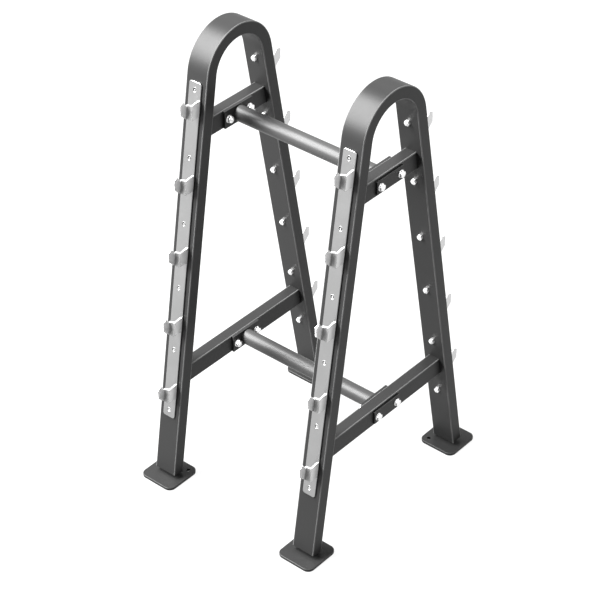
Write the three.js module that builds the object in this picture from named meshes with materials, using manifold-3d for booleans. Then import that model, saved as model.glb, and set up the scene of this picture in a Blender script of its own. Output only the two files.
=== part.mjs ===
// Barbell storage rack, in millimetres, +Z up, standing on z = 0.
// X runs from the left frame to the right frame, the front legs lie at -Y and the back legs at +Y.
// Each frame is a tube bent to an arch over two splayed legs. Hook strips on all four legs take
// barbells that lie along X.

import * as THREE from 'three';
import { mergeVertices } from 'three/addons/utils/BufferGeometryUtils.js';
import Module from 'manifold-3d';

const wasm = await Module();
wasm.setup();

// Frame tube, its wide side along X
const legWidth = 80;
const legDepth = 40;
const legWall = 3;
const legCorner = 8;

// Frame shape
const archRadius = 140;
const archCentreHeight = 1330;
const legSplay = THREE.MathUtils.degToRad(9.7);
const frameSpacing = 570;

// Crossbars
const barWidth = 40;
const barHeight = 60;
const barWall = 3;
const barCorner = 6;
const archAboveBarHeight = 155;
const lowerBarHeight = 356;

// Base plates
const plateSize = 130;
const plateThickness = 10;
const plateCorner = 22;
const plateEdge = 1.5;
const anchorHoleRadius = 6;
const anchorInset = 23;

// Tie tubes with the plates that they bolt to
const tieRadius = 25;
const tieWall = 3;
const flangeLength = 120;
const flangeHeight = 58;
const flangeThickness = 8;
const backingLength = 118;
const backingHeight = 44;
const backingThickness = 6;
const backingEdge = 0.8;
const tieBoltSpacing = 89;

// Tie bolts
const boltRadius = 6;
const boltHeadFlats = 19;
const boltHeadHeight = 7.5;
const boltNutHeight = 10;
const boltWasherRadius = 12;
const boltWasherThickness = 2.5;

// Hook strips
const stripWidth = 46;
const stripThickness = 5;
const stripCorner = 8;
const stripEdge = 1.2;
const stripEnd = 25;

// Countersunk screws that hold the strips
const screwRadius = 4;
const screwHeadRadius = 8;
const screwHeadHeight = 4;
const screwNutFlats = 16;
const screwNutHeight = 8;
const firstScrewDown = 45;
const lastScrewHeight = 240;
const screwCount = 6;

// Hook tabs: plates bent twice, so that the outer wall lies clear of the strip's edge.
// Heights are taken from the level top edge of the inner wall.
const hookThickness = 6;
const hookBend = 3;
const hookJoggle = 20;
const hookArm = 28;
const hookReach = 61;
const hookHeight = 50;
const hookChamferRun = 22;
const hookChamferRise = 22;
const saddleDrop = 10;
const lipReach = 47;
const lipRise = 9;
const lipRounding = 4;
const lipShoulder = 2.5;
const firstHookSpacing = 27;
const lastHookSpacing = 100;
const hookCount = 5;

// Fits
const seatGap = 0.3;
const threadEnd = 3;
const holeClearance = 0.5;
const overrun = 20;
const weldDistance = 0.001;

// Facets
const archSteps = 16;
const cornerSteps = 1;
const plateCornerSteps = 2;
const holeSides = 8;
const boltSides = 10;
const tieSides = 24;

// Places that follow from the sizes
const legCentreRadius = archRadius - legDepth / 2;
const legInnerRadius = archRadius - legDepth;
const upperBarHeight = archCentreHeight - archAboveBarHeight;
const barHeights = { upper: upperBarHeight, lower: lowerBarHeight };
const sides = { front: -1, back: 1 };
const frames = { left: -1, right: 1 };
const tieStack = backingThickness + seatGap + barWidth + seatGap + flangeThickness;
const screwGrip = stripThickness + seatGap + legDepth;
const legLength = downToHeight(legCentreRadius, plateThickness);
const screwPitch = (legLength - firstScrewDown - lastScrewHeight) / (screwCount - 1);
const screwSpan = screwPitch * (screwCount - 1);
const firstHookDown = firstScrewDown + firstHookSpacing;
const hookPitch = (screwSpan - firstHookSpacing - lastHookSpacing) / (hookCount - 1);
const stripLength = screwSpan + 2 * stripEnd;

// Finishes
const charcoalCoat = { color: 0x414245, roughness: 0.5, metalness: 0.0 };
const stripMetal = { color: 0xc4c5c6, roughness: 0.38, metalness: 0.9 };
const zincPlate = { color: 0xd2d3d4, roughness: 0.3, metalness: 1.0 };

// Solids for cutting and joining

function toSolid(geometry) {
  const bare = geometry.clone();
  bare.deleteAttribute('normal');
  bare.deleteAttribute('uv');
  const merged = mergeVertices(bare, weldDistance);
  return new wasm.Manifold(new wasm.Mesh({
    numProp: 3,
    vertProperties: merged.attributes.position.array,
    triVerts: new Uint32Array(merged.index.array),
  }));
}

function toGeometry(solid) {
  const mesh = solid.getMesh();
  const geometry = new THREE.BufferGeometry();
  geometry.setAttribute('position', new THREE.BufferAttribute(mesh.vertProperties, 3));
  geometry.setIndex(new THREE.BufferAttribute(mesh.triVerts, 1));
  geometry.computeVertexNormals();
  return geometry;
}

// Outlines and prisms

function roundedRectangle(width, height, radius) {
  const x = width / 2 - radius;
  const y = height / 2 - radius;
  const shape = new THREE.Shape();
  shape.absarc(x, -y, radius, -Math.PI / 2, 0);
  shape.absarc(x, y, radius, 0, Math.PI / 2);
  shape.absarc(-x, y, radius, Math.PI / 2, Math.PI);
  shape.absarc(-x, -y, radius, Math.PI, 1.5 * Math.PI);
  shape.closePath();
  return shape;
}

function tubeSection(width, height, radius, wall) {
  const section = roundedRectangle(width, height, radius);
  section.holes.push(roundedRectangle(width - 2 * wall, height - 2 * wall, radius - wall));
  return section;
}

function roundHole(x, y, radius) {
  const hole = new THREE.Path();
  for (let side = 0; side < holeSides; side += 1) {
    const turn = 2 * Math.PI * (side / holeSides);
    const point = [x + radius * Math.cos(turn), y + radius * Math.sin(turn)];
    if (side === 0) {
      hole.moveTo(...point);
    } else {
      hole.lineTo(...point);
    }
  }
  hole.closePath();
  return hole;
}

function polygon(points) {
  return new THREE.Shape(points.map(([x, y]) => new THREE.Vector2(x, y)));
}

function prism(shape, length) {
  const options = { depth: length, bevelEnabled: false, curveSegments: cornerSteps };
  return new THREE.ExtrudeGeometry(shape, options).translate(0, 0, -length / 2);
}

// A plate of the shape, its edges broken by a small chamfer
function chamferedPlate(shape, thickness, edge, steps) {
  const depth = thickness - 2 * edge;
  const geometry = new THREE.ExtrudeGeometry(shape, {
    depth,
    curveSegments: steps,
    bevelThickness: edge,
    bevelSize: edge,
    bevelOffset: -edge,
    bevelSegments: 1,
  });
  return geometry.translate(0, 0, -depth / 2);
}

// The prism's length turned along X, with the shape's x along Y and its y along Z
function lengthAlongX(geometry) {
  return geometry.rotateX(Math.PI / 2).rotateZ(Math.PI / 2);
}

// The prism's length turned along Y, with the shape's y along Z
function lengthAlongY(geometry) {
  return geometry.rotateX(Math.PI / 2);
}

function rod(radius, length, facets) {
  return new THREE.CylinderGeometry(radius, radius, length, facets);
}

function hexPrism(acrossFlats, height) {
  return rod(acrossFlats / 2 / Math.cos(Math.PI / 6), height, 6);
}

function lathe(points, facets) {
  return new THREE.LatheGeometry(points.map(([x, y]) => new THREE.Vector2(x, y)), facets);
}

// Places beside the back leg, in the YZ plane: out from the arch's centre square to the leg,
// and down along the leg from the end of the arch

function besideLeg(out, down) {
  const y = out * Math.cos(legSplay) + down * Math.sin(legSplay);
  const z = archCentreHeight + out * Math.sin(legSplay) - down * Math.cos(legSplay);
  return { y, z };
}

function downToHeight(out, height) {
  return (archCentreHeight + out * Math.sin(legSplay) - height) / Math.cos(legSplay);
}

function reachAtHeight(out, height) {
  return besideLeg(out, downToHeight(out, height)).y;
}

function screwDown(index) {
  return firstScrewDown + index * screwPitch;
}

// Arch tube: one length of tube, bent over the top and cut level at both feet

// The line of both legs and the arch at a distance from the arch's centre, front leg first
function archLine(out, lowest) {
  const foot = besideLeg(out, downToHeight(out, lowest));
  const line = [{ y: -foot.y, z: foot.z, turn: Math.PI - legSplay }];
  for (let step = 0; step <= archSteps; step += 1) {
    const turn = Math.PI - legSplay - (Math.PI - 2 * legSplay) * (step / archSteps);
    line.push({ y: out * Math.cos(turn), z: archCentreHeight + out * Math.sin(turn), turn });
  }
  line.push({ y: foot.y, z: foot.z, turn: legSplay });
  return line;
}

class ArchPath extends THREE.Curve {
  constructor() {
    super();
    this.nodes = archLine(legCentreRadius, -overrun).map(({ y, z, turn }) => ({
      point: new THREE.Vector3(0, y, z),
      tangent: new THREE.Vector3(0, Math.sin(turn), -Math.cos(turn)),
    }));
  }

  nodeAt(share) {
    return this.nodes[Math.round(share * (this.nodes.length - 1))];
  }

  getPointAt(share) {
    return this.nodeAt(share).point.clone();
  }

  getTangentAt(share) {
    return this.nodeAt(share).tangent.clone();
  }
}

function screwHoleInLeg(side, index) {
  const tool = rod(screwRadius + holeClearance, legDepth + overrun, holeSides);
  tool.translate(0, side * legCentreRadius, -screwDown(index));
  return tool.rotateX(side * legSplay).translate(0, 0, archCentreHeight);
}

function archTubeGeometry() {
  const path = new ArchPath();
  const tube = new THREE.ExtrudeGeometry(tubeSection(legWidth, legDepth, legCorner, legWall), {
    extrudePath: path,
    steps: path.nodes.length - 1,
    curveSegments: cornerSteps,
  });
  const footLevel = plateThickness + seatGap;
  const footDepth = footLevel + legDepth + 2 * overrun;
  const footReach = reachAtHeight(archRadius, -footDepth);
  const floorBlock = new THREE.BoxGeometry(2 * legWidth, 2 * footReach, footDepth);
  floorBlock.translate(0, 0, footLevel - footDepth / 2);
  let solid = toSolid(tube).subtract(toSolid(floorBlock));
  for (const side of Object.values(sides)) {
    for (let index = 0; index < screwCount; index += 1) {
      solid = solid.subtract(toSolid(screwHoleInLeg(side, index)));
    }
  }
  return toGeometry(solid);
}

// Crossbar: its ends follow the inner faces of the legs and the arch

function tieBoltHole(side, length) {
  const tool = rod(boltRadius + holeClearance, length, holeSides).rotateZ(Math.PI / 2);
  return tool.translate(0, side * tieBoltSpacing / 2, 0);
}

function crossbarGeometry(height) {
  const lowest = height - barHeight;
  const insideLine = archLine(legInnerRadius - seatGap, lowest);
  const betweenLegs = polygon(insideLine.map(({ y, z }) => [-y, z - height]));
  const section = tubeSection(barWidth, barHeight, barCorner, barWall);
  const tube = lengthAlongY(prism(section, 2 * reachAtHeight(legInnerRadius, lowest)));
  const mitre = lengthAlongX(prism(betweenLegs, 2 * barWidth));
  let solid = toSolid(tube).intersect(toSolid(mitre));
  for (const side of Object.values(sides)) {
    solid = solid.subtract(toSolid(tieBoltHole(side, barWidth + overrun)));
  }
  return toGeometry(solid);
}

// Base plate: one anchor hole at the corner that points to the rack's middle

function basePlateGeometry() {
  const shape = roundedRectangle(plateSize, plateSize, plateCorner);
  const inset = plateSize / 2 - anchorInset;
  shape.holes.push(roundHole(-inset, -inset, anchorHoleRadius));
  const plate = chamferedPlate(shape, plateThickness, plateEdge, plateCornerSteps);
  return plate.translate(0, 0, plateThickness / 2);
}

// Plates that the tie bolts pass through, lying in the YZ plane

function boltedPlateShape(shape) {
  for (const side of Object.values(sides)) {
    shape.holes.push(roundHole(side * tieBoltSpacing / 2, 0, boltRadius + holeClearance));
  }
  return shape;
}

function rectangle(width, height) {
  const x = width / 2;
  const y = height / 2;
  return polygon([[-x, -y], [x, -y], [x, y], [-x, y]]);
}

function tieFlangeGeometry() {
  const shape = boltedPlateShape(rectangle(flangeLength, flangeHeight));
  return lengthAlongX(prism(shape, flangeThickness));
}

function backingPlateGeometry() {
  const shape = boltedPlateShape(rectangle(backingLength, backingHeight));
  return lengthAlongX(chamferedPlate(shape, backingThickness, backingEdge, cornerSteps));
}

// Tie tube: open at both ends, which the flanges cover

function tieTubeLength() {
  return frameSpacing - barWidth - 2 * (flangeThickness + 2 * seatGap);
}

function tieTubeGeometry() {
  const end = tieTubeLength() / 2;
  const bore = tieRadius - tieWall;
  return lathe([[bore, -end], [tieRadius, -end], [tieRadius, end], [bore, end], [bore, -end]], tieSides);
}

// Fasteners lie along Y, with the head at +Y and the seat under the head at y = 0

function tieBoltGeometry() {
  const nutSeat = -(tieStack + 2 * seatGap);
  const nutTop = nutSeat - boltWasherThickness;
  const nutEnd = nutTop - boltNutHeight;
  const shank = lathe([
    [0, nutEnd - threadEnd],
    [boltRadius, nutEnd - threadEnd],
    [boltRadius, nutTop],
    [boltWasherRadius, nutTop],
    [boltWasherRadius, nutSeat],
    [boltRadius, nutSeat],
    [boltRadius, 0],
    [boltWasherRadius, 0],
    [boltWasherRadius, boltWasherThickness],
    [0, boltWasherThickness],
  ], boltSides);
  const head = hexPrism(boltHeadFlats, boltHeadHeight);
  head.translate(0, boltWasherThickness + boltHeadHeight / 2, 0);
  const nut = hexPrism(boltHeadFlats, boltNutHeight).translate(0, nutEnd + boltNutHeight / 2, 0);
  return toGeometry(toSolid(shank).add(toSolid(head)).add(toSolid(nut)));
}

// The outline of a countersunk screw, or of its hole when grown by a clearance
function countersunkProfile(growth, length) {
  const shankRadius = screwRadius + growth;
  const slope = (screwHeadRadius - screwRadius) / screwHeadHeight;
  return [
    [0, -length],
    [shankRadius, -length],
    [shankRadius, -screwHeadHeight],
    [shankRadius + slope * (screwHeadHeight + growth), growth],
    [0, growth],
  ];
}

function stripScrewGeometry() {
  const nutSeat = -(screwGrip + seatGap);
  const nutEnd = nutSeat - screwNutHeight;
  const shank = lathe(countersunkProfile(0, threadEnd - nutEnd), holeSides);
  const nut = hexPrism(screwNutFlats, screwNutHeight).translate(0, nutEnd + screwNutHeight / 2, 0);
  return toGeometry(toSolid(shank).add(toSolid(nut)));
}

// Hook strip: a flat bar with hook tabs welded to its +X edge.
// It lies in the leg's frame: y out from the leg's face, z up the leg from the end of the arch.

// The tab seen along the leg: out along the strip's edge, across to the middle, and out again
function hookPlanShape() {
  const half = hookThickness / 2;
  const outerBend = hookBend + hookThickness;
  const root = stripWidth / 2 - half;
  const start = stripThickness / 2;
  const step = stripThickness + hookArm;
  const end = stripThickness + hookReach + overrun;
  const shape = new THREE.Shape();
  shape.moveTo(root + half, start);
  shape.absarc(root + half - outerBend, step + half - outerBend, outerBend, 0, Math.PI / 2);
  shape.absarc(
    root - hookJoggle + half + hookBend, step + half + hookBend, hookBend, 1.5 * Math.PI, Math.PI, true);
  shape.lineTo(root - hookJoggle + half, end);
  shape.lineTo(root - hookJoggle - half, end);
  shape.absarc(
    root - hookJoggle - half + outerBend, step - half + outerBend, outerBend, Math.PI, 1.5 * Math.PI);
  shape.absarc(root - half - hookBend, step - half - hookBend, hookBend, Math.PI / 2, 0, true);
  shape.lineTo(root - half, start);
  shape.closePath();
  return shape;
}

// The tab seen along X, with level and upright edges: x out from the strip's face, y up
function hookSideShape() {
  const saddle = saddleReach();
  const shape = new THREE.Shape();
  shape.moveTo(-overrun, 0);
  shape.lineTo(saddle - saddleDrop, 0);
  shape.lineTo(saddle, -saddleDrop);
  const rise = new THREE.Vector2(lipReach - saddle, lipRise + saddleDrop).setLength(lipRounding);
  const fall = new THREE.Vector2(hookReach - lipReach, lipShoulder - lipRise).setLength(lipRounding);
  shape.lineTo(lipReach - rise.x, lipRise - rise.y);
  shape.quadraticCurveTo(lipReach, lipRise, lipReach + fall.x, lipRise + fall.y);
  shape.lineTo(hookReach, lipShoulder);
  shape.lineTo(hookReach, hookChamferRise - hookHeight);
  shape.lineTo(hookReach - hookChamferRun, -hookHeight);
  shape.lineTo(-overrun, -hookHeight);
  shape.closePath();
  return shape;
}

// Level distance from the strip's face to the outer side of the step at the saddle's low point
function saddleReach() {
  return (hookArm + hookThickness / 2 + saddleDrop * Math.sin(legSplay)) / Math.cos(legSplay);
}

// The slope of the saddle across the step, seen from the front: x along X, y up
function saddleCutShape() {
  const half = hookThickness / 2;
  const root = stripWidth / 2 - half;
  const middle = root - hookJoggle;
  return polygon([
    [root - half, 0],
    [root - half, overrun],
    [middle - overrun, overrun],
    [middle - overrun, -saddleDrop],
    [middle + half, -saddleDrop],
  ]);
}

function hookSolid() {
  const height = hookHeight + lipRise + 2 * overrun;
  const plan = prism(hookPlanShape(), height);
  plan.translate(0, 0, lipRise + overrun - height / 2);
  const side = lengthAlongX(prism(hookSideShape(), stripWidth + overrun));
  const reach = saddleReach();
  const saddle = lengthAlongY(prism(saddleCutShape(), reach)).translate(0, reach / 2, 0);
  for (const level of [side, saddle]) {
    level.rotateX(-legSplay).translate(0, stripThickness, 0);
  }
  return toSolid(plan).intersect(toSolid(side)).subtract(toSolid(saddle));
}

function hookStripGeometry() {
  const outline = roundedRectangle(stripWidth, stripLength, stripCorner);
  const bar = chamferedPlate(outline, stripThickness, stripEdge, cornerSteps);
  lengthAlongY(bar).translate(0, stripThickness / 2, stripEnd - firstScrewDown - stripLength / 2);
  let solid = toSolid(bar);
  const hook = hookSolid();
  for (let index = 0; index < hookCount; index += 1) {
    solid = solid.add(hook.translate([0, 0, -(firstHookDown + index * hookPitch)]));
  }
  const holeProfile = countersunkProfile(holeClearance, stripThickness + overrun);
  for (let index = 0; index < screwCount; index += 1) {
    const hole = lathe(holeProfile, holeSides).translate(0, stripThickness, -screwDown(index));
    solid = solid.subtract(toSolid(hole));
  }
  return toGeometry(solid);
}

// Assembly

function namedMesh(name, geometry, finish) {
  const mesh = new THREE.Mesh(geometry, new THREE.MeshStandardMaterial(finish));
  mesh.name = name;
  return mesh;
}

function addLeg(frame, name, side, geometries) {
  const mirror = new THREE.Group();
  mirror.scale.set(-side, side, 1);
  const leg = new THREE.Group();
  leg.position.z = archCentreHeight;
  leg.rotation.x = legSplay;
  mirror.add(leg);
  frame.add(mirror);

  const strip = namedMesh(`${name}_hook_strip`, geometries.hookStrip, stripMetal);
  strip.position.y = archRadius + seatGap;
  leg.add(strip);
  for (let index = 0; index < screwCount; index += 1) {
    const screw = namedMesh(`${name}_strip_screw_${index + 1}`, geometries.stripScrew, zincPlate);
    screw.position.set(0, archRadius + seatGap + stripThickness, -screwDown(index));
    leg.add(screw);
  }
}

function addBasePlate(frame, name, side, inward, geometries) {
  const mirror = new THREE.Group();
  mirror.scale.set(-inward, side, 1);
  mirror.position.y = side * reachAtHeight(legCentreRadius, plateThickness);
  mirror.add(namedMesh(`${name}_base_plate`, geometries.basePlate, charcoalCoat));
  frame.add(mirror);
}

function addTieJoint(frame, name, height, inward, geometries) {
  const flange = namedMesh(`${name}_tie_flange`, geometries.tieFlange, charcoalCoat);
  flange.position.set(inward * (barWidth / 2 + seatGap + flangeThickness / 2), 0, height);
  frame.add(flange);
  const backing = namedMesh(`${name}_backing_plate`, geometries.backingPlate, charcoalCoat);
  backing.position.set(-inward * (barWidth / 2 + seatGap + backingThickness / 2), 0, height);
  frame.add(backing);
  const headSeat = barWidth / 2 + seatGap + backingThickness + seatGap;
  for (const [sideName, side] of Object.entries(sides)) {
    const bolt = namedMesh(`${name}_${sideName}_tie_bolt`, geometries.tieBolt, zincPlate);
    bolt.position.set(-inward * headSeat, side * tieBoltSpacing / 2, height);
    bolt.rotation.z = inward * Math.PI / 2;
    frame.add(bolt);
  }
}

function buildFrame(name, position, geometries) {
  const frame = new THREE.Group();
  const inward = -position;
  frame.position.x = position * frameSpacing / 2;
  frame.add(namedMesh(`${name}_arch_tube`, geometries.archTube, charcoalCoat));
  for (const [level, height] of Object.entries(barHeights)) {
    const bar = namedMesh(`${name}_${level}_crossbar`, geometries.crossbars[level], charcoalCoat);
    bar.position.z = height;
    frame.add(bar);
    addTieJoint(frame, `${name}_${level}`, height, inward, geometries);
  }
  for (const [sideName, side] of Object.entries(sides)) {
    addBasePlate(frame, `${name}_${sideName}`, side, inward, geometries);
    addLeg(frame, `${name}_${sideName}`, side, geometries);
  }
  return frame;
}

const geometries = {
  archTube: archTubeGeometry(),
  crossbars: {
    upper: crossbarGeometry(upperBarHeight),
    lower: crossbarGeometry(lowerBarHeight),
  },
  basePlate: basePlateGeometry(),
  tieTube: tieTubeGeometry(),
  tieFlange: tieFlangeGeometry(),
  backingPlate: backingPlateGeometry(),
  tieBolt: tieBoltGeometry(),
  hookStrip: hookStripGeometry(),
  stripScrew: stripScrewGeometry(),
};

const group = new THREE.Group();
for (const [name, position] of Object.entries(frames)) {
  group.add(buildFrame(name, position, geometries));
}
for (const [level, height] of Object.entries(barHeights)) {
  const tie = namedMesh(`${level}_tie_tube`, geometries.tieTube, charcoalCoat);
  tie.rotation.z = Math.PI / 2;
  tie.position.z = height;
  group.add(tie);
}

export default group;
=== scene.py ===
"""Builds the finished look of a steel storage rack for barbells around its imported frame."""

import math

import bmesh
import bpy
from bpy.props import FloatProperty, FloatVectorProperty, IntProperty, PointerProperty
from mathutils import Matrix, Vector


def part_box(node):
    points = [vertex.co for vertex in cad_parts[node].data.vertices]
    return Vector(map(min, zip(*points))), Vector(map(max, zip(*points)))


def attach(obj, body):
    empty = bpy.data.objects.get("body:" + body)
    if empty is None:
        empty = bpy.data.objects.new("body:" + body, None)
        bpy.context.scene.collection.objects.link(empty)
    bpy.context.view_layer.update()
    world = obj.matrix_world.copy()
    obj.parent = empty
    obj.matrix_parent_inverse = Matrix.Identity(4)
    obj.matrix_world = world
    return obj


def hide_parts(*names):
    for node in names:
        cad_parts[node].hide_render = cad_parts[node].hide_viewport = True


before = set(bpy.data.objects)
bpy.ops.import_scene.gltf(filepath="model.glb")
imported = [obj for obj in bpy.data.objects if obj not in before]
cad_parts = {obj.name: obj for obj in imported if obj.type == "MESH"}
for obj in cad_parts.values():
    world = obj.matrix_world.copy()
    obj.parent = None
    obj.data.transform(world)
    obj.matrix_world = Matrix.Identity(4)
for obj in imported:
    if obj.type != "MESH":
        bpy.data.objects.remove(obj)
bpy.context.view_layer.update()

bl_info = {
    "name": "Barbell storage rack",
    "version": (1, 0, 0),
    "blender": (4, 5, 0),
    "location": "View3D > Sidebar > Rack",
    "description": "Builds an arched steel rack that stores barbells on joggled hooks",
    "category": "Add Mesh",
}

SIDES = {"front": -1, "back": 1}
FRAMES = {"left": -1, "right": 1}
LEVELS = ("upper", "lower")

# Sizes that the strips and their screws share, in metres
SEAT_GAP = 0.0003
SCREW_HEAD = 0.008

# Angles between faces: an edge above the first is rounded, and one below the second is shaded smooth
CORNER_ANGLE = math.radians(60)
SMOOTH_ANGLE = math.radians(32)

# A measured place is taken for a nominal one up to this factor, and points this near are one point
SLACK = 1.01
WELD = 1e-7

# Hexagonal heads and nuts: points round them, the angle of a side, and the turned end's share and slope
HEX_STEPS = 48
HEX_SIDE = math.radians(60)
HEX_CROWN = 0.95
HEX_SLOPE = math.radians(30)


# Places that the pieces share, read from the frame

def node_centre(name):
    low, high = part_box(name)
    return (low + high) / 2


def frame_middle(name):
    return node_centre(f"{name}_arch_tube").x


def leg_matrix(sizes, frame_name, side):
    """From a leg's own axes, X along the stored bars, Y out from the leg and Z up it, to the rack's."""
    place = Matrix.Translation((frame_middle(frame_name), 0, sizes.arch_centre))
    turn = Matrix.Diagonal((-SIDES[side], SIDES[side], 1, 1))
    return place @ turn @ Matrix.Rotation(sizes.leg_splay, 4, "X")


# Shared steps of the modelling

# Face masks: rounded edges, hook tabs and screw heads, and places painted dark as shade
MASKS = ("edge", "tab", "painted_shade")


def new_bmesh():
    """An empty mesh with the face masks that the finishes read."""
    bm = bmesh.new()
    for name in MASKS:
        bm.faces.layers.float.new(name)
    return bm


def verts_in(geom):
    return [item for item in geom if isinstance(item, bmesh.types.BMVert)]


def edges_in(geom):
    return [item for item in geom if isinstance(item, bmesh.types.BMEdge)]


def mark_corners(bm, width):
    """Marks the faces of a tube's rounded corners, which are narrower than the width."""
    layer = bm.faces.layers.float["edge"]
    for face in bm.faces:
        longest = max(edge.calc_length() for edge in face.edges)
        face[layer] = float(face.calc_area() < width * longest)


def rounded_loop(bm, width, height, radius, segments):
    """A flat face in the XY plane with rounded corners."""
    corners = [(-1, -1), (1, -1), (1, 1), (-1, 1)]
    verts = [bm.verts.new((x * width / 2, y * height / 2, 0)) for x, y in corners]
    bm.faces.new(verts)
    bmesh.ops.bevel(
        bm, geom=verts, affect="VERTICES", offset=radius, offset_type="OFFSET",
        segments=segments, profile=0.5, material=-1)
    return next(iter(bm.faces))


def flat_polygon(bm, points):
    """A flat face in the XY plane through the points."""
    return bm.faces.new([bm.verts.new((x, y, 0)) for x, y in points])


def add_circle(bm, centre, radius, sides):
    """A round outline in the XY plane."""
    ring = bmesh.ops.create_circle(bm, segments=sides, radius=radius)["verts"]
    bmesh.ops.translate(bm, verts=ring, vec=(*centre, 0))


def thicken(bm, faces, thickness):
    """Turns flat faces in the XY plane into a plate, with its lower side at z = 0."""
    made = bmesh.ops.extrude_face_region(bm, geom=faces)
    bmesh.ops.translate(bm, verts=verts_in(made["geom"]), vec=(0, 0, thickness))


def break_edges(bm, edges, width, segments=1):
    """Rounds the edges and marks the faces that this makes."""
    made = bmesh.ops.bevel(
        bm, geom=edges, affect="EDGES", offset=width, offset_type="OFFSET",
        segments=segments, profile=0.5, material=-1, clamp_overlap=True)
    layer = bm.faces.layers.float["edge"]
    for face in made["faces"]:
        face[layer] = 1


def fill_plate(bm, thickness):
    """Fills flat outlines, with holes where they lie inside each other, to a plate on z = 0."""
    bmesh.ops.triangle_fill(bm, edges=bm.edges[:], use_beauty=True, use_dissolve=False)
    bmesh.ops.dissolve_limit(bm, angle_limit=0.01, verts=bm.verts[:], edges=bm.edges[:])
    thicken(bm, bm.faces[:], thickness)
    bmesh.ops.recalc_face_normals(bm, faces=bm.faces[:])


def sharp_edges(bm, angle=CORNER_ANGLE):
    """The edges where two faces meet at more than the angle."""
    bm.normal_update()
    return [e for e in bm.edges if len(e.link_faces) == 2 and e.calc_face_angle(0) > angle]


def rim_edges(bm, centre, radius):
    """The sharp edges round a hole that runs along Z."""
    reach = radius * SLACK
    return [
        edge for edge in sharp_edges(bm)
        if all((vert.co.xy - centre).length < reach for vert in edge.verts)]


def cap_openings(bm):
    """Closes every open rim with a face."""
    rims = [e for e in bm.edges if e.is_boundary]
    bmesh.ops.holes_fill(bm, edges=rims, sides=0)


def cut_level(bm, point, normal):
    """Cuts the mesh by a plane and drops what lies on the normal's side."""
    geom = bm.verts[:] + bm.edges[:] + bm.faces[:]
    bmesh.ops.bisect_plane(
        bm, geom=geom, plane_co=point, plane_no=normal, clear_outer=True, dist=WELD)
    cap_openings(bm)


def move(bm, matrix):
    bmesh.ops.transform(bm, matrix=matrix, verts=bm.verts[:])


def add_copy(target, source, matrix=None):
    """Adds a copy of one bmesh to another."""
    holder = bpy.data.meshes.new("holder")
    source.to_mesh(holder)
    if matrix is not None:
        holder.transform(matrix)
    target.from_mesh(holder)
    bpy.data.meshes.remove(holder)


def settled(bm):
    """The mesh rebuilt with its vertices and faces in order of place.

    Extrusions number them by memory address, so their order would change from run to run.
    """
    verts = sorted(bm.verts, key=lambda vert: vert.co[:])
    rank = {vert: index for index, vert in enumerate(verts)}
    loops = []
    for face in bm.faces:
        loop = [rank[vert] for vert in face.verts]
        start = loop.index(min(loop))
        loops.append((loop[start:] + loop[:start], [face[bm.faces.layers.float[name]] for name in MASKS]))
    made = new_bmesh()
    points = [made.verts.new(vert.co) for vert in verts]
    for loop, marks in sorted(loops):
        face = made.faces.new([points[index] for index in loop])
        for name, mark in zip(MASKS, marks):
            face[made.faces.layers.float[name]] = mark
    bm.free()
    return made


def shade(bm, limit):
    """Smooth shading, but flat faces stay flat up to their rounded edges."""
    layer = bm.faces.layers.float["edge"]
    for face in bm.faces:
        face.smooth = True
    for edge in bm.edges:
        rounded = {face[layer] for face in edge.link_faces}
        edge.smooth = len(rounded) == 1 and edge.calc_face_angle(0) < limit


def finish_piece(bm, name, material, nodes):
    """Makes the mesh an object that rides on the rack and stands for the nodes."""
    bmesh.ops.remove_doubles(bm, verts=bm.verts[:], dist=WELD)
    bmesh.ops.recalc_face_normals(bm, faces=bm.faces[:])
    bm = settled(bm)
    bm.normal_update()
    shade(bm, SMOOTH_ANGLE)
    mesh = bpy.data.meshes.new(name)
    bm.to_mesh(mesh)
    bm.free()
    mesh.materials.append(material)
    piece = bpy.data.objects.new(name, mesh)
    bpy.context.scene.collection.objects.link(piece)
    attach(piece, "root")
    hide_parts(*nodes)
    return piece


# Shader node groups that several finishes share

def new_group(name, inputs, outputs):
    """A shader node group with its sockets and nothing in it yet."""
    group = bpy.data.node_groups.new(name, "ShaderNodeTree")
    for label, kind, value in inputs:
        socket = group.interface.new_socket(label, in_out="INPUT", socket_type=kind)
        socket.default_value = value
    for label, kind in outputs:
        group.interface.new_socket(label, in_out="OUTPUT", socket_type=kind)
    group.nodes.new("NodeGroupInput")
    group.nodes.new("NodeGroupOutput")
    return group


def fill_sockets(tree, sockets, values):
    """Gives each socket its value, or a link where the value is a socket of another node."""
    for socket, value in zip(sockets, values):
        if isinstance(value, bpy.types.NodeSocket):
            tree.links.new(value, socket)
        else:
            socket.default_value = value


def fill_named(tree, node, given):
    """Fills a node's inputs by their names, where an underscore stands for a space."""
    fill_sockets(tree, [node.inputs[key.replace("_", " ")] for key in given], given.values())


def add_node(tree, kind, settings=None, **sockets):
    """A node with its settings and its inputs."""
    node = tree.nodes.new(kind)
    for key, value in (settings or {}).items():
        setattr(node, key, value)
    fill_named(tree, node, sockets)
    return node


def math_node(tree, operation, first, second):
    """The result of an operation on two values or sockets."""
    node = add_node(tree, "ShaderNodeMath", {"operation": operation})
    fill_sockets(tree, node.inputs, (first, second))
    return node.outputs["Value"]


def group_ends(group):
    """The sockets that a group takes its values from and those that it hands its results to."""
    source = next(n for n in group.nodes if n.type == "GROUP_INPUT")
    target = next(n for n in group.nodes if n.type == "GROUP_OUTPUT")
    return source.outputs, target.inputs


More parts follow.
